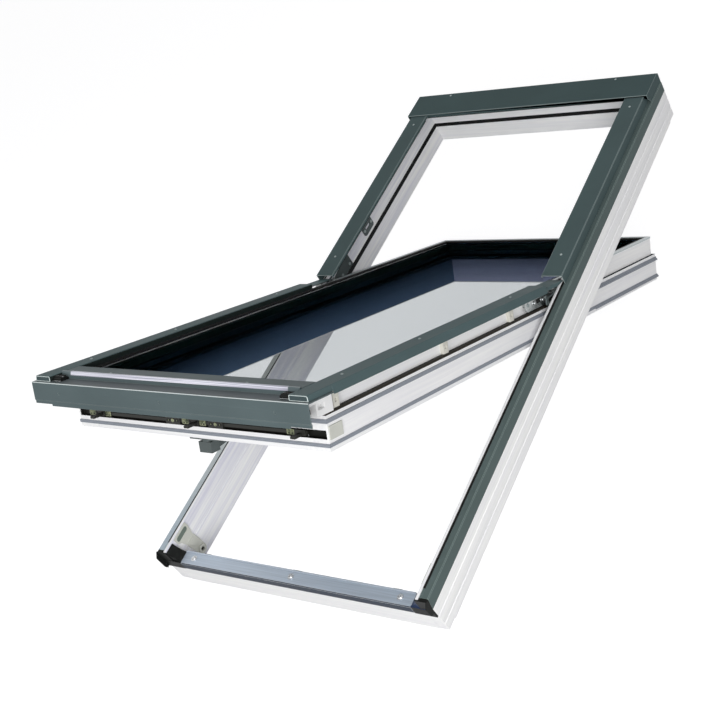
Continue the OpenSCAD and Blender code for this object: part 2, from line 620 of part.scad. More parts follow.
// Grey lip seals around the sash, with longer lips towards the head.
module lip(z0, z1) {
    difference() {
        blk(-sx - 1.5, sx + 1.5, syb - 1.5, syt + 1.5, z0, z1);
        blk(-sx + 1.5, sx - 1.5, syb + 1.5, syt - 1.5, z0 - 1, z1 + 1);
    }
    for (sd = [-1, 1]) along([[sx + 1, z0 + 2], [sx + 5.5, z0 - 1], [sx + 5.5, z0 + 1],
        [sx + 1, z0 + 6]], pivot_y + 250, syt + 1, sd);
    across([[syt + 1, z0 + 2], [syt + 9, z0 - 2], [syt + 9, z0], [syt + 1, z0 + 6]],
        -sx - 1, sx + 1);
}
module lip_seal_outer() opened() color([0.45, 0.47, 0.50]) lip(out_z0, out_z1);
module lip_seal_inner() opened() color([0.45, 0.47, 0.50]) lip(in_z0, in_z1);

// Black gasket on the ledge around the lower part of the sash.
module sash_gasket() {
    opened() color([0.03, 0.03, 0.03]) {
        for (sd = [-1, 1]) along([[sxw, s1], [sx + 3, s1], [sx + 4, s1 + 2], [sx + 3, s1 + gasket_t],
            [sxw, s1 + gasket_t]], syb, pivot_y + 20, sd);
        across([[syb + 8, s1], [syb + 8, s1 + gasket_t], [syb - 3, s1 + gasket_t], [syb - 4, s1 + 2],
            [syb - 3, s1]], -sx - 3, sx + 3);
    }
}

// Sash half of the pivot hinge: pressed steel plate and arm with two guide pins.
module hinge_sash(sd) {
    opened() color([0.72, 0.73, 0.74]) {
        difference() {
            union() {
                sector(sx, sx + 3, arc_r - 9, arc_r + 14, 12, 35, sd);
                across([for (p = [[-86, 14], [-86, 34], [-78, 40], [26, 38], [54, 32], [102, 20],
                    [102, -2], [94, -6], [38, -6], [22, 9], [-78, 9]]) [pivot_y + p[0], s1 + p[1]]],
                    sd > 0 ? sx : -sx - 3, sd > 0 ? sx + 3 : -sx);
                for (p = hinge_holes) if (p[1] > s1 + 8) rod_x(sxw, sx + 1, p[0], p[1], 7, sd);
            }
            for (p = hinge_holes) rod_x(sx - 1, sx + 4, p[0], p[1], 2.6, sd, 20);
            for (y = [-46, -8]) rod_x(sx - 1, sx + 4, pivot_y + y, s1 + 24, 5, sd);
        }
        for (a = [20, 30]) rod_x(sx + 2, ji - 0.5, pivot_y + arc_r * sin(a),
            pivot_z - arc_r * cos(a), pin_r, sd);
        for (a = [20, 30]) rod_x(sx + 2, ji - 4, pivot_y + arc_r * sin(a),
            pivot_z - arc_r * cos(a), pin_r + 3, sd);
    }
}
module hinge_sash_left() hinge_sash(-1);
module hinge_sash_right() hinge_sash(1);

// End plates of the hardware groove.
module rail_end_plates() {
    opened() color([0.70, 0.68, 0.62]) for (sd = [-1, 1])
        blk(sx, sx + 2.5, syb + 3, syb + 42, in_z1 + 7 * step, out_z0 - 6 * step, sd);
}

// Screws of the sash: cover screws and hinge screws.
module sash_screws() {
    opened() color([0.70, 0.72, 0.73]) {
        for (sd = [-1, 1]) {
            for (y = [syb + 60, syb + 314, cover_end - 124]) pip(sd * (scx0 + 20), y, sct);
            pip(sd * (hw - 200), syb - 26, sct);
            for (p = hinge_holes) rod_x(sx + 3, sx + 4.5, p[0], p[1], 4.2, sd, 20);
        }
    }
}

// Plate that carries the handle under the bottom rail.
module handle_base() {
    opened() color([0.30, 0.31, 0.33]) difference() {
        union() {
            blk(hand_x - 38, hand_x + 38, hand_y - 14, hand_y + 14, s0 - 4, s0);
            translate([hand_x, hand_y, s0 - 6]) cylinder(h = 4, r = 13, $fn = 40);
        }
        translate([hand_x, hand_y, s0 - 9]) cylinder(h = 12, r = 6.05, $fn = 32);
        for (x = [-30, 30]) translate([hand_x + x, hand_y, s0 - 5]) cylinder(h = 6, r = 2.6, $fn = 20);
    }
}

// Handle: hub and bar that turn in the base plate.
module handle_lever() {
    opened() color([0.24, 0.25, 0.27]) {
        translate([hand_x, hand_y, s0 - 8]) cylinder(h = 12, r = 6, $fn = 32);
        translate([hand_x, hand_y, s0 - 10]) cylinder(h = 3.8, r = 12, $fn = 40);
        blk(hand_x - 17, hand_x + 17, hand_y - 12, hand_y + 12, s0 - 6 - hub_h, s0 - 9);
        across([[hand_y + 10, s0 - 4 - hub_h], [hand_y + 10, s0 - 11], [hand_y + bar_l - 4, s0 - 11],
            [hand_y + bar_l, s0 - 13], [hand_y + bar_l, s0 - 18], [hand_y + bar_l - 4, s0 - 20],
            [hand_y + 22, s0 - 4 - hub_h]], hand_x - 6, hand_x + 6);
    }
}

// Sliding lock bar with three locking noses in the groove of the bottom rail.
module lock_bar() {
    opened() color([0.55, 0.56, 0.57]) {
        blk(bar_x0, bar_x1, syb + 1.5, syb + 6.5, groove_z0 + 5, groove_z0 + 12);
        for (x = nose_x) {
            blk(x - 14, x + 14, syb - 1, syb + 7, groove_z0 + 2.5, groove_z0 + 14.5);
            blk(x - 6, x + 6, syb - 23, syb + 2, groove_z0 + 3, groove_z0 + 8);
        }
        for (x = guide_x) blk(x - 20, x + 20, syb - 0.5, syb + 9 - slide_gap,
            groove_z0 + slide_gap, groove_z1 - slide_gap);
    }
}

frame_head();
frame_sill();
frame_jamb_left();
frame_jamb_right();
side_channel_left();
side_channel_right();
head_channel();
head_cover();
upper_cover_left();
upper_cover_right();
upper_seal();
frame_seal();
channel_strips();
sill_flashing();
corner_plug_left();
corner_plug_right();
hinge_frame_left();
hinge_frame_right();
keeper_left();
keeper_right();
catch_plate_left();
catch_plate_right();
lock_strikes();
frame_screws();
sill_screws();
sash_top_rail();
sash_bottom_rail();
sash_stile_left();
sash_stile_right();
outer_pane();
middle_pane();
inner_pane();
outer_spacer();
inner_spacer();
edge_sealant();
bedding_tape();
glass_edge_seal();
edge_strip();
sash_cover_left();
sash_cover_right();
sash_cover_bottom();
cover_clips();
corner_blocks();
lip_seal_outer();
lip_seal_inner();
sash_gasket();
hinge_sash_left();
hinge_sash_right();
rail_end_plates();
sash_screws();
handle_base();
handle_lever();
lock_bar();
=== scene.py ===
import json
import math

import bmesh
import bpy
from mathutils import Matrix, Vector

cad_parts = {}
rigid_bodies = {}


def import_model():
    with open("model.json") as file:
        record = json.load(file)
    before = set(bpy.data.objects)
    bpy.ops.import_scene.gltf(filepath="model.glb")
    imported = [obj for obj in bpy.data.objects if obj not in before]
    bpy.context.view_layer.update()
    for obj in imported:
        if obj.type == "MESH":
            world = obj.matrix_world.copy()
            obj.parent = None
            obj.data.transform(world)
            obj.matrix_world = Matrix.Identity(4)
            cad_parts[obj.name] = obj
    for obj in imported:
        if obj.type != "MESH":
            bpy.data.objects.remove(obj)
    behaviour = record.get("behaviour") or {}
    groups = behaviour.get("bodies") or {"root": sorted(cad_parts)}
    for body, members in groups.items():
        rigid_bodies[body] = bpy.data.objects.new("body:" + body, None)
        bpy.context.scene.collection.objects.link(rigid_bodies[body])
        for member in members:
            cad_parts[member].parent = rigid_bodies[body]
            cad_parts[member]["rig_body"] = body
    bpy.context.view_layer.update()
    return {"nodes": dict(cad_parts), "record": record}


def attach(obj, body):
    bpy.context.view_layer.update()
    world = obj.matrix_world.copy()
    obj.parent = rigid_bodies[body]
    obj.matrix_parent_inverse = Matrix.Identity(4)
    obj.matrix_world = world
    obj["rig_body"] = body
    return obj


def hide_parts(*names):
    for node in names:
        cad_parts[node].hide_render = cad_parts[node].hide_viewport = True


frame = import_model()

# Camera, fitted to the window in the photograph. The picture is 720 by 720.
IMAGE_PX = 720
FOCAL_PX = 1230.5
CENTRE_PX = (73.7, -25.1)
CAMERA_AT = Vector((1.7906, -1.6764, 2.0218))
LOOK = Vector((-0.5703, 0.5224, -0.6339))
RIGHT = Vector((0.8209, 0.3899, -0.4172))
SENSOR_MM = 36.0

# The sash is drawn opened: TURN takes its closed position to the opened one.
OPEN_ANGLE = math.radians(34.5)
PIVOT = Vector((0.0, 0.086, 0.262))
SWING = Matrix.Rotation(-OPEN_ANGLE, 4, "X")
TURN = Matrix.Translation(PIVOT) @ SWING @ Matrix.Translation(-PIVOT)
BACK = TURN.inverted()
FLOOR_Z = -0.42

# Sizes of the closed window in millimetres, as in the solids.
SASH_X, SASH_FOOT = 348.0, -734.0
GROOVE_LOW, GROOVE_HIGH = 39.0, 56.0
LEDGE_LOW, LEDGE_HIGH = 82.0, 95.0
FASCIA_Y, FOLD_Z, COVER_TOP = -813.0, 135.3, 147.3
COVER_IN, COVER_OUT = 331.0, 381.0
# The lock bar's noses across the window, and the bar's right end.
NOSES, BAR_END = (-280, 0, 280), 296
# The lower end of the latches beside the side covers.
LATCH_Y = -799.0
# Just inside the jambs' inner faces, where the details of the keepers stand.
KEEPER_X = 360.9

# Limits that tell the faces of one solid apart, in the same millimetres.
WIDE = 400
JAMB_LIMIT = 366
FLASHING_FRONT = -803.0
SHOULDER_IN, SHOULDER_OUT, SHOULDER_LOW = 326, 361, 84.5
COVER_END_X, COVER_END_Y = 320, 70

# Half the length of the painted highlight's streaks on the bottom cover's ridge, in metres.
STREAK_END = 0.303

# Light in the studio: the surroundings as a light and as they are seen, and the floor's glow.
WORLD_LIGHT, WORLD_SEEN = 0.36, 1.0
FLOOR_SEEN = 0.8
LAMP_AIM = Vector((0, 0, 0.1))
# Lamp: place, size in metres and watts.
LAMPS = {
    "key": ((2.4, -3.6, 2.6), 2.6, 172),
    "fill": ((-3.0, -1.0, 2.6), 3.0, 8),
    "top": ((0.6, -1.0, 3.8), 2.4, 20),
    "side": ((3.4, -0.9, 0.7), 1.6, 14),
}


def srgb(r, g, b):
    """Linear colour of an 8-bit screen colour."""
    def one(c):
        c /= 255.0
        return c / 12.92 if c <= 0.04045 else ((c + 0.055) / 1.055) ** 2.4
    return (one(r), one(g), one(b), 1.0)


class Nodes:
    """A material's node tree, with short names for the nodes that recur."""

    def __init__(self, name):
        self.mat = bpy.data.materials.new(name)
        self.mat.use_nodes = True
        self.tree = self.mat.node_tree
        self.bsdf = self.tree.nodes["Principled BSDF"]
        self.coords = self.tree.nodes.new("ShaderNodeTexCoord").outputs["Object"]

    def add(self, kind, **inputs):
        """A new shader node with its inputs set or linked."""
        node = self.tree.nodes.new("ShaderNode" + kind)
        for key, value in inputs.items():
            self.feed(node, key, value)
        return node

    def feed(self, node, key, value):
        """Set or link one input, given by its name or as i and its number."""
        numbered = key[0] == "i" and key[1:].isdigit()
        socket = node.inputs[int(key[1:]) if numbered else key]
        if isinstance(value, bpy.types.NodeSocket):
            self.tree.links.new(value, socket)
        else:
            socket.default_value = value

    def math(self, operation, a, b=0.5):
        node = self.tree.nodes.new("ShaderNodeMath")
        node.operation = operation
        self.feed(node, "i0", a)
        self.feed(node, "i1", b)
        return node.outputs[0]

    def turned(self, scale=(1, 1, 1), angle=0.0):
        """Coordinates turned about X by an angle, then stretched."""
        flat = self.add("Mapping", Vector=self.coords, Rotation=(angle, 0, 0)).outputs[0]
        return self.add("Mapping", Vector=flat, Scale=scale).outputs[0]

    def closed(self):
        """Coordinates of the closed sash."""
        moved = self.add("Mapping", Vector=self.coords, Location=tuple(-PIVOT)).outputs[0]
        moved = self.add("Mapping", Vector=moved, Rotation=(OPEN_ANGLE, 0, 0)).outputs[0]
        return self.add("Mapping", Vector=moved, Location=tuple(PIVOT)).outputs[0]

    def noise(self, scale, detail=3.0, vector=None, distortion=0.0):
        node = self.add("TexNoise", Scale=scale, Detail=detail, Distortion=distortion)
        self.feed(node, "Vector", vector or self.coords)
        return node.outputs["Fac"]

    def mix(self, fac, a, b):
        """Colour from a to b."""
        node = self.tree.nodes.new("ShaderNodeMix")
        node.data_type = "RGBA"
        self.feed(node, "i0", fac)
        self.feed(node, "i6", a)
        self.feed(node, "i7", b)
        return node.outputs[2]

    def spread(self, value, low, high, to_low=0.0, to_high=1.0):
        """The range from low to high mapped to that from to_low to to_high."""
        ends = {"From Min": low, "From Max": high, "To Min": to_low, "To Max": to_high}
        return self.add("MapRange", Value=value, **ends).outputs[0]

    def bump(self, height, strength, distance=0.001):
        node = self.add("Bump", Height=height, Strength=strength, Distance=distance)
        self.feed(self.bsdf, "Normal", node.outputs[0])

    def axis(self, index, vector=None):
        """One coordinate: 0 for X, 1 for Y, 2 for Z."""
        node = self.add("SeparateXYZ", Vector=vector or self.coords)
        return node.outputs[index]

    def look(self, colour, rough, metal=0.0, **more):
        """Finish the material; more names other inputs, with _ for a space."""
        self.feed(self.bsdf, "Base Color", colour)
        self.feed(self.bsdf, "Roughness", rough)
        self.bsdf.inputs["Metallic"].default_value = metal
        for key, value in more.items():
            self.feed(self.bsdf, key.replace("_", " "), value)
        return self.mat


def timber(name, angle=0.0, across=False, contrast=1.0, shade=0.0):
    """White lacquered timber: faint long grain in colour, gloss and bump.

    shade darkens the dim side of the grain and tints it bluish, as painted shade, in steps of the
    8-bit screen colour.
    """
    n = Nodes(name)
    stretch = (1.6, 60, 60) if across else (60, 1.6, 60)
    grain = n.noise(1.0, 6.0, n.turned([s * 2.2 for s in stretch], angle), 0.5)
    broad = n.noise(1.0, 2.0, n.turned([s * 0.35 for s in stretch], angle))
    streak = n.math("ADD", n.math("MULTIPLY", grain, 0.6), n.math("MULTIPLY", broad, 0.4))
    dim = 238 - 14 * contrast
    grain_dim_and_shade = srgb(dim - shade, dim - shade, dim + 3 - shade * 0.4)
    colour = n.mix(n.spread(streak, 0.36, 0.62), grain_dim_and_shade, srgb(243, 243, 242))
    n.bump(grain, 0.08 * contrast, 0.0005)
    return n.look(colour, n.spread(grain, 0.3, 0.7, 0.34, 0.46), Specular_IOR_Level=0.35)


def coated(name, colour, rough=0.46, metal=0.0, vary=0.07, gloss=0.04):
    """Coated sheet metal: fine orange-peel, cloudy tone, slightly uneven gloss."""
    n = Nodes(name)
    cloud = n.noise(7.0, 3.0)
    peel = n.noise(900.0, 2.0)
    dark = tuple(c * (1 - vary) for c in colour[:3]) + (1,)
    light = tuple(min(1, c * (1 + vary)) for c in colour[:3]) + (1,)
    n.bump(peel, 0.05, 0.0004)
    return n.look(n.mix(n.spread(cloud, 0.3, 0.7), dark, light),
                  n.spread(cloud, 0.3, 0.7, rough - 0.04, rough + 0.05), metal,
                  Specular_IOR_Level=gloss)


def painted_sheen(name, colour, pale, y_far, y_near):
    """Coated sheet that pales towards its lower end, as the photograph shows; the whole sheet is
    painted light as a painted reflection.
    """
    n = Nodes(name)
    cloud = n.noise(7.0, 3.0)
    n.bump(n.noise(900.0, 2.0), 0.05, 0.0004)
    along = n.spread(n.axis(1), y_far, y_near)
    shade = n.mix(n.math("MULTIPLY", along, n.spread(cloud, 0.3, 0.7, 0.85, 1.0)), colour, pale)
    return n.look(shade, n.spread(cloud, 0.3, 0.7, 0.36, 0.46), Specular_IOR_Level=0.35)


def brushed(name, colour, rough=0.28, stretch=(6, 300, 300), angle=0.0, metal=1.0):
    """Metal drawn or pressed in one direction, with fine lines."""
    n = Nodes(name)
    lines = n.noise(1.0, 4.0, n.turned(stretch, angle))
    dark = tuple(c * 0.82 for c in colour[:3]) + (1,)
    n.bump(lines, 0.08, 0.0004)
    return n.look(n.mix(n.spread(lines, 0.35, 0.65), dark, colour),
                  n.spread(lines, 0.3, 0.7, rough - 0.06, rough + 0.10), metal)


def streaked_highlight(name, dark, light, ends, rough=0.35, metal=0.3):
    """Painted highlight as a bright strip with long soft streaks across the window; its ends stay
    plain.
    """
    n = Nodes(name)
    lines = n.noise(1.0, 3.0, n.turned((5, 700, 700), OPEN_ANGLE), 0.4)
    n.bump(lines, 0.10, 0.0004)
    inner = n.spread(n.math("ABSOLUTE", n.axis(0)), STREAK_END - 0.002, STREAK_END)
    return n.look(n.mix(inner, n.mix(n.spread(lines, 0.40, 0.60), dark, light), ends),
                  n.spread(lines, 0.3, 0.7, rough - 0.08, rough + 0.10), metal)


def zinc(name, rough=0.34):
    """Yellow-green passivated steel with patches."""
    n = Nodes(name)
    patch = n.noise(130.0, 3.0)
    fine = n.noise(700.0, 2.0)
    n.bump(fine, 0.10, 0.0004)
    return n.look(n.mix(n.spread(patch, 0.35, 0.65), srgb(70, 80, 62), srgb(150, 154, 124)),
                  n.spread(fine, 0.3, 0.7, rough - 0.06, rough + 0.08), 0.75)


def painted_shade_under_glass(name, turn, upper, lower, low, high, streaks=0.25):
    """Inner side of the sash, white timber with painted shade, darkening towards the coated
    glass, with long faint streaks.
    """
    n = Nodes(name)
    lines = n.noise(1.0, 3.0, n.turned(turn, OPEN_ANGLE), 0.2)
    height = n.spread(n.axis(2, n.closed()), low, high)
    wave = n.math("ADD", height, n.math("MULTIPLY", n.math("SUBTRACT", lines, 0.5), streaks))
    n.bump(lines, 0.03, 0.0003)
    return n.look(n.mix(wave, lower, upper), n.spread(lines, 0.3, 0.7, 0.7, 0.8),
                  Specular_IOR_Level=0.04)


def rubber(name, colour, rough=0.62, gloss=0.2):
    """Matt rubber with a fine skin."""
    n = Nodes(name)
    skin = n.noise(420.0, 3.0)
    light = tuple(c * 1.4 + 0.001 for c in colour[:3]) + (1,)
    n.bump(skin, 0.12, 0.0004)
    return n.look(n.mix(skin, colour, light),
                  n.spread(skin, 0.3, 0.7, rough - 0.08, rough + 0.08),
                  Specular_IOR_Level=gloss)


def lipped(name, colour, dark):
    """Extruded seal of the sash with fine lines along it."""
    n = Nodes(name)
    high = n.axis(2, n.closed())
    line = n.math("PINGPONG", high, 0.0014)
    skin = n.noise(380.0, 2.0)
    n.bump(line, 0.5, 0.6)
    shade = n.mix(n.spread(line, 0.0001, 0.0006), dark, colour)
    return n.look(n.mix(n.math("MULTIPLY", skin, 0.3), shade, dark),
                  n.spread(skin, 0.3, 0.7, 0.48, 0.60), Specular_IOR_Level=0.3)


def moulded(name, colour, rough=0.45, gloss=0.35):
    """Moulded plastic with a fine eroded texture."""
    n = Nodes(name)
    grain = n.noise(650.0, 2.0)
    cloud = n.noise(14.0, 2.0)
    dark = tuple(c * 0.9 for c in colour[:3]) + (1,)
    n.bump(grain, 0.08, 0.0004)
    return n.look(n.mix(cloud, dark, colour),
                  n.spread(grain, 0.3, 0.7, rough - 0.05, rough + 0.06),
                  Specular_IOR_Level=gloss)


def glass(name, colour, ior):
    """Coated window pane; its tint varies a little over the pane.

    An index near 1 keeps the inside visible at the photograph's flat angle.
    """
    n = Nodes(name)
    n.bsdf.inputs["Transmission Weight"].default_value = 1.0
    n.bsdf.inputs["IOR"].default_value = ior
    cloud = n.noise(1.5, 1.0)
    tint = n.mix(cloud, colour, tuple(c * 0.97 for c in colour[:3]) + (1,))
    return n.look(tint, n.spread(cloud, 0.3, 0.7, 0.0, 0.012))


def materials():
    """Every look of the window by name; numbers after a colour are roughness and metal."""
    m = {}
    m["frame_white"] = timber("frame_white", contrast=0.7)
    m["frame_cross"] = timber("frame_cross", across=True, contrast=0.6)
    # The jambs' inner faces: white timber with bluish painted shade in the grain.
    m["jamb_inner_painted_shade"] = timber("jamb_inner_painted_shade", contrast=0.7, shade=14)
    m["sash_white"] = timber("sash_white", OPEN_ANGLE, contrast=0.6)
    m["sash_cross"] = timber("sash_cross", OPEN_ANGLE, across=True, contrast=0.6)
    # Painted shade: the inner sides of stiles and rails in navy, slate and lavender in place of
    # white timber in shade under the glass.
    m["side_inner_painted_shade"] = painted_shade_under_glass("side_inner_painted_shade", (40, 1.2, 40), srgb(8, 28, 44),
                                  srgb(84, 106, 134), 0.020, 0.092)
    m["cross_inner_painted_shade"] = painted_shade_under_glass("cross_inner_painted_shade", (1.2, 40, 40), srgb(40, 56, 74),
                                   srgb(150, 156, 186), 0.02, 0.098)
    m["hood"] = coated("hood", srgb(66, 82, 83))
    m["upper"] = coated("upper", srgb(73, 88, 89))
    m["cover"] = coated("cover", srgb(80, 97, 99))
    m["bottom"] = coated("bottom", srgb(84, 96, 98))
    m["cover_strip"] = coated("cover_strip", srgb(94, 101, 103), 0.36)
    # The side covers' inward faces: the cover colour darkened as painted shade.
    m["cover_inner_shade"] = coated("cover_inner_shade", srgb(36, 43, 42), 0.45)
    # fold: a painted highlight along the bottom cover's fold.
    m["fold"] = coated("fold", srgb(205, 213, 213), 0.30, 0.2)
    # Edge looks: lighter colours as painted highlights on the softened edges and the covers'
    # ends.
    m["cover_edge_highlight"] = coated("cover_edge_highlight", srgb(118, 130, 130), 0.32, 0.2)
    # bright_edge_highlight: a painted highlight on the upper covers' lower ends and on the rims
    # round the side covers' ends.
    m["bright_edge_highlight"] = coated("bright_edge_highlight", srgb(196, 206, 205), 0.30, 0.2)
    m["channel"] = coated("channel", srgb(86, 99, 98))
    # The left channel is painted light as a painted reflection; the right channel keeps the
    # coating's own colour.
    m["channel_left"] = painted_sheen("channel_left", srgb(196, 200, 197), srgb(160, 174, 186),
                               -0.35, -0.75)
    # Painted highlight on the channels' softened edges.
    m["channel_edge_highlight"] = coated("channel_edge_highlight", srgb(128, 142, 138), 0.30, 0.2)
    # ridge: a painted highlight in lavender white on the bottom cover's sloping ridge.
    m["ridge"] = streaked_highlight("ridge", srgb(150, 150, 168), srgb(232, 232, 242), srgb(82, 96, 99))
    m["alloy"] = brushed("alloy", srgb(172, 183, 196), 0.34, metal=0.5)
    m["alloy_front"] = coated("alloy_front", srgb(52, 60, 72), 0.36)
    # Painted highlight on the softened edges of the flashing and the edge strip.
    m["alloy_edge_highlight"] = brushed("alloy_edge_highlight", srgb(235, 238, 240), 0.3, metal=0.4)
    m["strip"] = brushed("strip", srgb(176, 184, 186), 0.34, metal=0.6)
    m["steel"] = brushed("steel", srgb(182, 186, 186), 0.28)
    m["screw"] = brushed("screw", srgb(205, 207, 209), 0.24)
    m["pip"] = coated("pip", srgb(150, 160, 160), 0.3, 0.2)
    m["dark_steel"] = coated("dark_steel", srgb(84, 92, 92), 0.36, 0.4)
    m["zinc"] = zinc("zinc")
    m["beige"] = coated("beige", srgb(196, 197, 189), 0.42, 0.1, gloss=0.3)
    m["black"] = rubber("black", srgb(9, 10, 10))
    m["brown_black"] = rubber("brown_black", srgb(26, 22, 14))
    m["grey_lip"] = lipped("grey_lip", srgb(150, 156, 165), srgb(92, 97, 106))
    m["plug"] = moulded("plug", srgb(16, 18, 17), 0.55, 0.15)
    m["lock_dark"] = moulded("lock_dark", srgb(30, 31, 27), 0.45)
    m["cover_cap"] = coated("cover_cap", srgb(66, 78, 80), 0.4)
    m["obround"] = coated("obround", srgb(108, 120, 112), 0.4)
    m["gusset"] = moulded("gusset", srgb(44, 58, 86), 0.45, 0.2)
    # groove: near-black painted shade for the lock groove, the keepers' sockets and the lock
    # bar's slots.
    m["groove"] = moulded("groove", srgb(14, 14, 10), 0.55, 0.2)
    m["tab"] = moulded("tab", srgb(212, 210, 200), 0.4)
    m["clip"] = moulded("clip", srgb(236, 236, 236), 0.38)
    m["handle"] = coated("handle", srgb(74, 82, 82), 0.36, gloss=0.3)
    m["spacer"] = coated("spacer", srgb(2, 17, 18), 0.8, gloss=0.03)
    m["spacer_in"] = coated("spacer_in", srgb(8, 26, 36), 0.8, gloss=0.03)
    # rebate: the bedding tape's own dark colour, and painted shade on the timber ledge under the
    # glass.
    m["rebate"] = coated("rebate", srgb(8, 24, 34), 0.8, gloss=0.03)
    m["glass_out"] = glass("glass_out", (0.63, 0.645, 0.66, 1), 1.0)
    m["glass_in"] = glass("glass_in", (0.975, 0.985, 0.985, 1), 1.002)
    return m


def dressed(node, look, edge, width, special, closed):
    """The CAD node's own shape with softened edges, shown in its place.

    special holds pairs of a material and a test on a face's centre and normal, in millimetres,
    in the closed position for the pieces of the sash.
    """
    source = frame["nodes"][node]
    mesh = source.data.copy()
    mesh.materials.clear()
    bm = bmesh.new()
    bm.from_mesh(mesh)
    bmesh.ops.remove_doubles(bm, verts=bm.verts, dist=1e-6)
    bmesh.ops.dissolve_limit(bm, angle_limit=math.radians(0.4), verts=bm.verts, edges=bm.edges)
    for face in bm.faces:
        centre, normal = face.calc_center_median(), face.normal
        if closed:
            centre, normal = BACK @ centre, BACK.to_3x3() @ normal
        for k, (material, test) in enumerate(special):
            if test(centre * 1000, normal):
                face.material_index = 2 + k
    bm.to_mesh(mesh)
    bm.free()
    piece = bpy.data.objects.new("look_" + node, mesh)
    bpy.context.scene.collection.objects.link(piece)
    mesh.materials.append(look)
    mesh.materials.append(edge or look)
    for material, _ in special:
        mesh.materials.append(material)
    mesh.shade_smooth()
    mesh.set_sharp_from_angle(angle=math.radians(28))
    soften = piece.modifiers.new("soften", "BEVEL")
    soften.width = width
    soften.segments = 2
    soften.limit_method = "ANGLE"
    soften.angle_limit = math.radians(32)
    soften.harden_normals = True
    soften.use_clamp_overlap = True
    # The softened edges take the edge look, a lighter painted highlight.
    if edge:
        soften.material = 1
    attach(piece, source["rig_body"])
    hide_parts(node)


def plain(node, look):
    """The CAD node shown as it is, with a procedural material."""
    data = frame["nodes"][node].data
    data.materials.clear()
    data.materials.append(look)


SLOTS = {s["node"]: s["material_slot"] for s in frame["record"]["subparts"]}
M = materials()


def near(y, z):
    """Test: the face's centre lies in these ranges of Y and Z, at any place across the window."""
    def test(c, n):
        return abs(c.x) <= WIDE and y[0] <= c.y <= y[1] and z[0] <= c.z <= z[1]
    return test


def inward(axis, limit):
    """Test: the face looks to the window's middle along X (0) or Y (1) and lies within limit."""
    def test(c, n):
        return abs(n[axis]) > 0.8 and c[axis] * n[axis] < 0 and abs(c[axis]) < limit
    return test


def on_ledge(c, n):
    """Test: the face is the rebate's ledge, under the glass."""
    return (n.z > 0.3 and LEDGE_LOW < c.z < LEDGE_HIGH and abs(c.x) < COVER_IN + 5
            and c.y > SASH_FOOT + 14)


def on_plug_shoulder(c, n):
    """Test: the face is the raised shoulder of the right corner plug."""
    return SHOULDER_IN < c.x < SHOULDER_OUT and c.z > SHOULDER_LOW


def on_cover_end(c, n):
    """Test: the face is the lower end of an upper cover."""
    return n.y < -0.9 and abs(c.x) > COVER_END_X and c.y < COVER_END_Y


# Painted shade: the faces inside the lock groove in near-black.
GROOVE_SHADE = (M["groove"], near((SASH_FOOT + 0.5, SASH_FOOT + 9.5),
                            (GROOVE_LOW - 0.5, GROOVE_HIGH + 0.5)))
# Painted highlight on the bottom cover's ridge.
RIDGE_HIGHLIGHT = (M["ridge"], near((SASH_FOOT - 39.5, SASH_FOOT - 30.5), (FOLD_Z + 7, COVER_TOP + 3)))
STRIP = (M["cover_strip"], near((FASCIA_Y + 1.6, SASH_FOOT - 4), (FOLD_Z - 0.1, FOLD_Z + 0.9)))
# Painted highlight along the fold line.
FOLD_HIGHLIGHT = (M["fold"], near((FASCIA_Y - 0.5, FASCIA_Y + 1.6), (FOLD_Z - 1.6, FOLD_Z + 0.1)))
# Painted shade: the timber ledge under the glass in the tape's dark colour.
LEDGE_SHADE = (M["rebate"], on_ledge)
# Painted shade on the inner sides of the stiles and rails, under the glass.
SIDE_IN_SHADE = (M["side_inner_painted_shade"], inward(0, SASH_X - 50))
CROSS_IN_SHADE = (M["cross_inner_painted_shade"], inward(1, -SASH_FOOT - 30))
# Painted shade on the jambs' inner faces.
SHADED = (M["jamb_inner_painted_shade"], inward(0, JAMB_LIMIT))
# Painted shade on the inward faces of the sash side covers.
COVER_INNER_SHADE = (M["cover_inner_shade"], inward(0, COVER_IN + 4))
FRONT = (M["alloy_front"], lambda c, n: n.y < -0.6 and c.y < FLASHING_FRONT)
NAVY = (M["gusset"], on_plug_shoulder)
# Painted highlight on the lower ends of the upper covers.
END_HIGHLIGHT = (M["bright_edge_highlight"], on_cover_end)

# Node: look, edge look (a lighter painted highlight on the softened edges, or none), edge width
# in metres, special faces.
FRAME_LOOKS = {
    "frame_head": ("frame_cross", None, 0.0008, ()),
    "frame_sill": ("frame_cross", None, 0.0012, ()),
    "frame_jamb_left": ("frame_white", None, 0.0007, (SHADED,)),
    "frame_jamb_right": ("frame_white", None, 0.0007, (SHADED,)),
    "side_channel_left": ("channel_left", "channel_edge_highlight", 0.0007, ()),
    "side_channel_right": ("channel", "channel_edge_highlight", 0.0007, ()),
    "head_channel": ("channel", "channel_edge_highlight", 0.0006, ()),
    "head_cover": ("hood", "cover_edge_highlight", 0.0007, ()),
    "upper_cover_left": ("upper", "cover_edge_highlight", 0.0006, (END_HIGHLIGHT,)),
    "upper_cover_right": ("upper", "cover_edge_highlight", 0.0006, (END_HIGHLIGHT,)),
    "sill_flashing": ("alloy", "alloy_edge_highlight", 0.0008, (FRONT,)),
    "corner_plug_left": ("plug", None, 0.0008, (NAVY,)),
    "corner_plug_right": ("plug", None, 0.0008, (NAVY,)),
    "hinge_frame_left": ("dark_steel", None, 0.0004, ()),
    "hinge_frame_right": ("dark_steel", None, 0.0004, ()),
    "keeper_left": ("beige", None, 0.0006, ()),
    "keeper_right": ("beige", None, 0.0006, ()),
    "catch_plate_left": ("dark_steel", None, 0.0004, ()),
    "catch_plate_right": ("dark_steel", None, 0.0004, ()),
    "lock_strikes": ("zinc", None, 0.0004, ()),
}
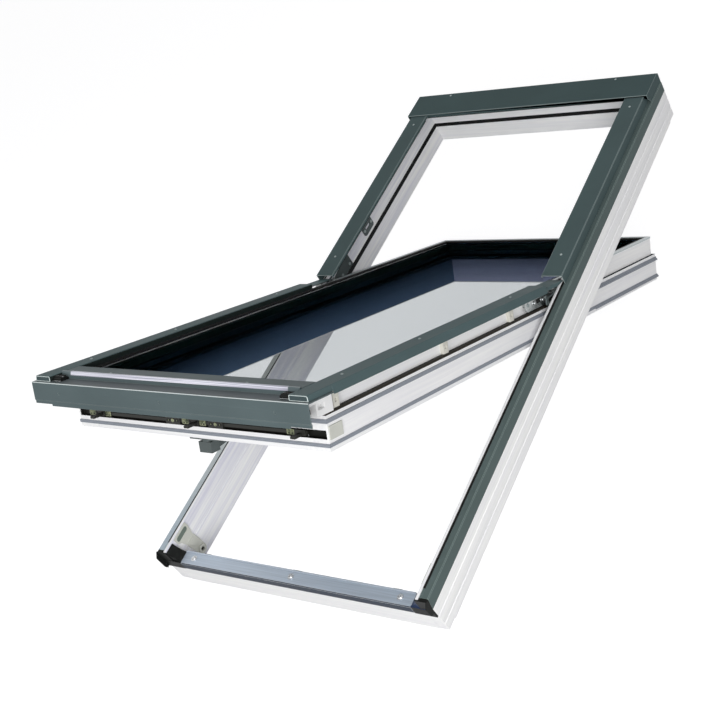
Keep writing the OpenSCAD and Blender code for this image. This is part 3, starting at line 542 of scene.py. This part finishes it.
SASH_LOOKS = {
    "sash_cover_left": ("cover", "cover_edge_highlight", 0.0006, (COVER_INNER_SHADE,)),
    "sash_cover_right": ("cover", "cover_edge_highlight", 0.0006, (COVER_INNER_SHADE,)),
    "sash_cover_bottom": ("bottom", "cover_edge_highlight", 0.0005, (RIDGE_HIGHLIGHT, FOLD_HIGHLIGHT, STRIP)),
    "edge_strip": ("strip", "alloy_edge_highlight", 0.0004, ()),
    "hinge_sash_left": ("steel", None, 0.0004, ()),
    "hinge_sash_right": ("steel", None, 0.0004, ()),
    "rail_end_plates": ("beige", None, 0.0005, ()),
    "lock_bar": ("lock_dark", None, 0.0004, ()),
    "sash_top_rail": ("sash_cross", None, 0.0010, (LEDGE_SHADE, CROSS_IN_SHADE)),
    "sash_bottom_rail": ("sash_cross", None, 0.0010, (GROOVE_SHADE, LEDGE_SHADE, CROSS_IN_SHADE)),
    "sash_stile_left": ("sash_white", None, 0.0010, (GROOVE_SHADE, LEDGE_SHADE, SIDE_IN_SHADE)),
    "sash_stile_right": ("sash_white", None, 0.0010, (GROOVE_SHADE, LEDGE_SHADE, SIDE_IN_SHADE)),
    "cover_clips": ("tab", None, 0.0008, ()),
    "corner_blocks": ("clip", None, 0.0010, ()),
    "handle_base": ("handle", None, 0.0008, ()),
    "handle_lever": ("handle", None, 0.0015, ()),
}
# The nodes that keep their own shape, and their looks.
PLAIN = {
    "upper_seal": "black", "frame_seal": "black", "channel_strips": "black",
    "edge_sealant": "black", "glass_edge_seal": "black",
    "bedding_tape": "rebate", "sash_gasket": "brown_black",
    "lip_seal_outer": "grey_lip", "lip_seal_inner": "grey_lip",
    "frame_screws": "pip", "sill_screws": "screw", "sash_screws": "pip",
    "outer_spacer": "spacer", "inner_spacer": "spacer_in",
    "outer_pane": "glass_out", "middle_pane": "glass_in", "inner_pane": "glass_in",
}
for table, closed in ((FRAME_LOOKS, False), (SASH_LOOKS, True)):
    for node, (look, edge, width, special) in table.items():
        dressed(node, M[look], M[edge] if edge else None, width, special, closed)
for node, look in PLAIN.items():
    plain(node, M[look])


class Detail:
    """Small shapes in millimetres, drawn in the closed position and made one object.

    soft is the width of the softened edges. With sash, the object is turned open with the sash.
    """

    def __init__(self, name, body, slot, look, soft, sash=True):
        self.args = name, body, slot, look, soft, sash
        self.bm = bmesh.new()

    def box(self, x0, x1, y0, y1, z0, z1):
        made = bmesh.ops.create_cube(self.bm, size=1.0)["verts"]
        for v in made:
            v.co = Vector(((x0 + x1) / 2 + v.co.x * (x1 - x0), (y0 + y1) / 2 + v.co.y * (y1 - y0),
                           (z0 + z1) / 2 + v.co.z * (z1 - z0)))

    def rod(self, start, end, radius, sides=20, tip=None):
        """Rod between two points; tip is its radius at the end."""
        start, end = Vector(start), Vector(end)
        axis = end - start
        spin = axis.to_track_quat("Z", "Y").to_matrix().to_4x4()
        bmesh.ops.create_cone(self.bm, cap_ends=True, segments=sides, radius1=radius,
                              radius2=radius if tip is None else tip, depth=axis.length,
                              matrix=Matrix.Translation((start + end) / 2) @ spin)

    def path(self, points, radius, sides=8):
        """Rods along a line of points."""
        for a, b in zip(points, points[1:]):
            self.rod(a, b, radius, sides)

    def prism(self, points, x0, x1):
        """Outline in Y and Z drawn from x0 to x1."""
        ends = [[self.bm.verts.new((x, y, z)) for y, z in points] for x in (x0, x1)]
        self.bm.faces.new(list(reversed(ends[0])))
        self.bm.faces.new(ends[1])
        count = len(points)
        for k in range(count):
            j = (k + 1) % count
            self.bm.faces.new((ends[0][k], ends[0][j], ends[1][j], ends[1][k]))

    def done(self):
        """Make the object and let it ride on its body."""
        name, body, slot, look, soft, sash = self.args
        bmesh.ops.recalc_face_normals(self.bm, faces=self.bm.faces)
        self.bm.transform(Matrix.Scale(0.001, 4))
        if sash:
            self.bm.transform(TURN)
        mesh = bpy.data.meshes.new(name)
        self.bm.to_mesh(mesh)
        self.bm.free()
        mesh.materials.append(look)
        mesh.shade_smooth()
        mesh.set_sharp_from_angle(angle=math.radians(30))
        piece = bpy.data.objects.new(name, mesh)
        bpy.context.scene.collection.objects.link(piece)
        bevel = piece.modifiers.new("soften", "BEVEL")
        bevel.width = soft * 0.001
        bevel.segments = 2
        bevel.limit_method = "ANGLE"
        bevel.angle_limit = math.radians(35)
        bevel.harden_normals = True
        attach(piece, body)


def lock_details():
    """Rollers, slotted plates and screws on the lock bar, in the groove of the bottom rail; the
    slots and holes are flat shapes of near-black painted shade.
    """
    gear = Detail("lock_gear", "lock_bar", SLOTS["lock_bar"], M["zinc"], 0.25)
    # Slots and holes on the lock bar, as flat near-black shapes of painted shade.
    dark = Detail("lock_slot_shade", "lock_bar", SLOTS["lock_bar"], M["groove"], 0.15)
    front, mid = SASH_FOOT - 0.4, (GROOVE_LOW + GROOVE_HIGH) / 2
    for x in NOSES:
        for a, b in ((x - 34, x - 15), (x + 15, x + 32)):
            if b > BAR_END:
                continue
            gear.box(a, b, front + 0.9, front + 2.2, mid - 5.6, mid + 5.2)
            for k in (0.28, 0.72):
                cx = a + (b - a) * k
                gear.rod((cx, front + 1.0, mid + 2.0), (cx, front - 0.2, mid + 2.0), 2.3, 18, 1.7)
                dark.rod((cx, front + 0.95, mid - 2.6), (cx, front + 0.7, mid - 2.6), 1.8, 16)
        gear.rod((x, front - 0.6, mid - 4), (x, front - 1.4, mid - 4), 3.4, 20, 2.8)
        dark.rod((x - 8, front - 0.6, mid - 3.5), (x - 8, front - 0.9, mid - 3.5), 1.8, 16)
    for x in (-60, 60):
        gear.rod((x, front + 0.1, mid), (x, front - 0.9, mid), 4.2, 24, 3.6)
        for k in (-12, 12):
            dark.box(x + k - 4.5, x + k + 4.5, front - 0.35, front + 0.1, mid - 2.4, mid + 2.4)
            gear.rod((x + k, front, mid), (x + k, front - 0.8, mid), 1.7, 14, 1.3)
    gear.done()
    dark.done()


def cover_ends():
    """Rims in a pale painted highlight round the lower ends of the side covers and a ribbed clip
    beside each.
    """
    rims = Detail("cover_rim_highlights", "sash", SLOTS["sash_cover_bottom"], M["bright_edge_highlight"], 0.2)
    caps = Detail("cover_caps", "sash", SLOTS["sash_cover_bottom"], M["cover_cap"], 0.4)
    clips = Detail("cover_latches", "sash", SLOTS["sash_gasket"], M["plug"], 0.5)
    wires = Detail("latch_wires", "sash", SLOTS["edge_strip"], M["screw"], 0.1)
    y = FASCIA_Y + 8.4
    top = COVER_TOP - 1.6
    for side in (-1, 1):
        outline = [(COVER_IN + 0.8, FOLD_Z + 0.6), (COVER_IN + 0.8, top - 1.0),
                   (COVER_IN + 2.2, top), (COVER_OUT - 8.6, top),
                   (COVER_OUT - 6.8, top - 1.4), (COVER_OUT - 5.2, FOLD_Z + 0.6)]
        rims.path([(side * x, y, z) for x, z in outline + outline[:1]], 0.8)
        a, b = sorted((side * (COVER_IN + 2), side * (COVER_OUT - 8)))
        caps.prism([(y - 0.2, FOLD_Z + 1.2), (y + 0.8, FOLD_Z + 1.2),
                    (y + 0.8, COVER_TOP - 1.2), (y - 0.2, COVER_TOP - 1.2)], a, b)
        a, b = sorted((side * (COVER_IN - 1), side * (COVER_IN - 27)))
        clips.prism([(LATCH_Y, FOLD_Z), (LATCH_Y + 22, FOLD_Z), (LATCH_Y + 22, FOLD_Z + 4),
                     (LATCH_Y + 16, FOLD_Z + 8), (LATCH_Y + 4, FOLD_Z + 8),
                     (LATCH_Y, FOLD_Z + 5)], a, b)
        for k in range(4):
            rib = LATCH_Y + 2 + k * 4.6
            clips.prism([(rib, FOLD_Z + 6), (rib + 2, FOLD_Z + 6), (rib + 1.6, FOLD_Z + 9.6),
                         (rib + 0.4, FOLD_Z + 9.6)], a + 1.5, b - 1.5)
        wires.path([(a + 1, LATCH_Y - 0.6, FOLD_Z + 1.2), (b - 1, LATCH_Y - 0.6, FOLD_Z + 1.2),
                    (b - 1, LATCH_Y + 9, FOLD_Z + 8.8), (a + 1, LATCH_Y + 9, FOLD_Z + 8.8)], 0.5)
    for detail in (rims, caps, clips, wires):
        detail.done()


def hinge_details():
    """Friction shoe, bolts and rods on the sash half of each pivot hinge."""
    shoe = Detail("hinge_shoes", "sash", SLOTS["sash_gasket"], M["plug"], 0.5)
    bolts = Detail("hinge_bolts", "sash", SLOTS["hinge_sash_left"], M["screw"], 0.3)
    face = SASH_X + 3.0
    shoe_outline = [(118, 94), (150, 98), (158, 106), (154, 112), (126, 110), (116, 102)]
    block_outline = [(52, 106), (66, 106), (66, 116), (52, 116)]
    for side in (-1, 1):
        a, b = sorted((side * face, side * (face + 2.6)))
        shoe.prism(shoe_outline, a, b)
        shoe.prism(block_outline, a, b)
        for y, z, r in ((122, 102, 3.4), (40, 110, 3.8), (78, 110, 3.8)):
            bolts.rod((side * face, y, z), (side * (face + 2.4), y, z), r, 6)
            bolts.rod((side * (face + 2.2), y, z), (side * (face + 3.4), y, z), r * 0.5, 16)
        bolts.path([(side * (face + 1.6), 12, 121), (side * (face + 1.6), 104, 120),
                    (side * (face + 1.6), 132, 113)], 1.3, 12)
    shoe.done()
    bolts.done()


def frame_details():
    """Sockets as flat squares of near-black painted shade, and slides in the keepers, and small
    screws beside the strikes.
    """
    # The keepers' sockets are flat near-black squares of painted shade.
    socket_shade = Detail("keeper_socket_shade", "frame", SLOTS["corner_plug_left"], M["groove"], 0.3, False)
    slots = Detail("keeper_slides", "frame", SLOTS["keeper_left"], M["obround"], 0.3, False)
    bolts = Detail("strike_screws", "frame", SLOTS["lock_strikes"], M["screw"], 0.2, False)
    slide_y, slide_z, radius, half, sides = -739, 106, 7.0, 14, 24
    slide_outline = []
    for k in range(sides):
        angle = math.tau * (k + 0.5) / sides
        y, z = slide_y + radius * math.cos(angle), slide_z + radius * math.sin(angle)
        slide_outline.append((y + (half if y > slide_y else -half), z))
    for side in (-1, 1):
        a, b = sorted((side * KEEPER_X, side * (KEEPER_X - 1.5)))
        socket_shade.prism([(-733, 21), (-723, 21), (-723, 31), (-733, 31)], a, b)
        slots.prism(slide_outline, a, b)
    for x in NOSES:
        for k in (-33, 27):
            bolts.rod((x + k, -768.2, 39), (x + k, -765.8, 39), 4.0, 20, 3.2)
    socket_shade.done()
    slots.done()
    bolts.done()


lock_details()
cover_ends()
hinge_details()
frame_details()


def seen(tree):
    """One for camera, transmission and glossy rays: glass and metal show the background too."""
    path = tree.nodes.new("ShaderNodeLightPath")
    value = path.outputs["Is Camera Ray"]
    for kind in ("Is Transmission Ray", "Is Glossy Ray"):
        either = tree.nodes.new("ShaderNodeMath")
        either.operation = "MAXIMUM"
        tree.links.new(value, either.inputs[0])
        tree.links.new(path.outputs[kind], either.inputs[1])
        value = either.outputs[0]
    return value


def studio():
    """Pale floor, white surroundings and soft lamps."""
    world = bpy.data.worlds.new("studio")
    bpy.context.scene.world = world
    world.use_nodes = True
    tree = world.node_tree
    strength = tree.nodes.new("ShaderNodeMapRange")
    tree.links.new(seen(tree), strength.inputs["Value"])
    strength.inputs["To Min"].default_value = WORLD_LIGHT
    strength.inputs["To Max"].default_value = WORLD_SEEN
    back = tree.nodes["Background"]
    back.inputs["Color"].default_value = (1, 1, 1, 1)
    tree.links.new(strength.outputs[0], back.inputs["Strength"])

    bpy.ops.mesh.primitive_plane_add(size=40, location=(0, 0, FLOOR_Z))
    floor = bpy.context.object
    floor.name = "floor"
    mat = bpy.data.materials.new("floor")
    mat.use_nodes = True
    tree = mat.node_tree
    bsdf = tree.nodes["Principled BSDF"]
    bsdf.inputs["Base Color"].default_value = (0.34, 0.34, 0.35, 1)
    bsdf.inputs["Roughness"].default_value = 0.9
    bsdf.inputs["Emission Color"].default_value = (1, 1, 1, 1)
    glow = tree.nodes.new("ShaderNodeMapRange")
    glow.inputs["To Max"].default_value = FLOOR_SEEN
    tree.links.new(seen(tree), glow.inputs["Value"])
    tree.links.new(glow.outputs[0], bsdf.inputs["Emission Strength"])
    floor.data.materials.append(mat)

    for name, (place, size, watts) in LAMPS.items():
        data = bpy.data.lights.new(name, "AREA")
        data.size = size
        data.energy = watts
        lamp = bpy.data.objects.new(name, data)
        bpy.context.scene.collection.objects.link(lamp)
        lamp.location = place
        lamp.rotation_euler = (LAMP_AIM - lamp.location).to_track_quat("-Z", "Y").to_euler()


def camera():
    """The photograph's camera; its shift brings the picture's middle to the window."""
    data = bpy.data.cameras.new("camera")
    data.sensor_width = SENSOR_MM
    data.lens = FOCAL_PX / IMAGE_PX * SENSOR_MM
    data.shift_x = -CENTRE_PX[0] / IMAGE_PX
    data.shift_y = CENTRE_PX[1] / IMAGE_PX
    cam = bpy.data.objects.new("camera", data)
    bpy.context.scene.collection.objects.link(cam)
    right = (RIGHT - LOOK * RIGHT.dot(LOOK)).normalized()
    up = right.cross(LOOK).normalized()
    turn = Matrix((right, up, -LOOK)).transposed().to_4x4()
    cam.matrix_world = Matrix.Translation(CAMERA_AT) @ turn
    bpy.context.scene.camera = cam


studio()
camera()
bpy.context.scene.view_settings.view_transform = "Standard"
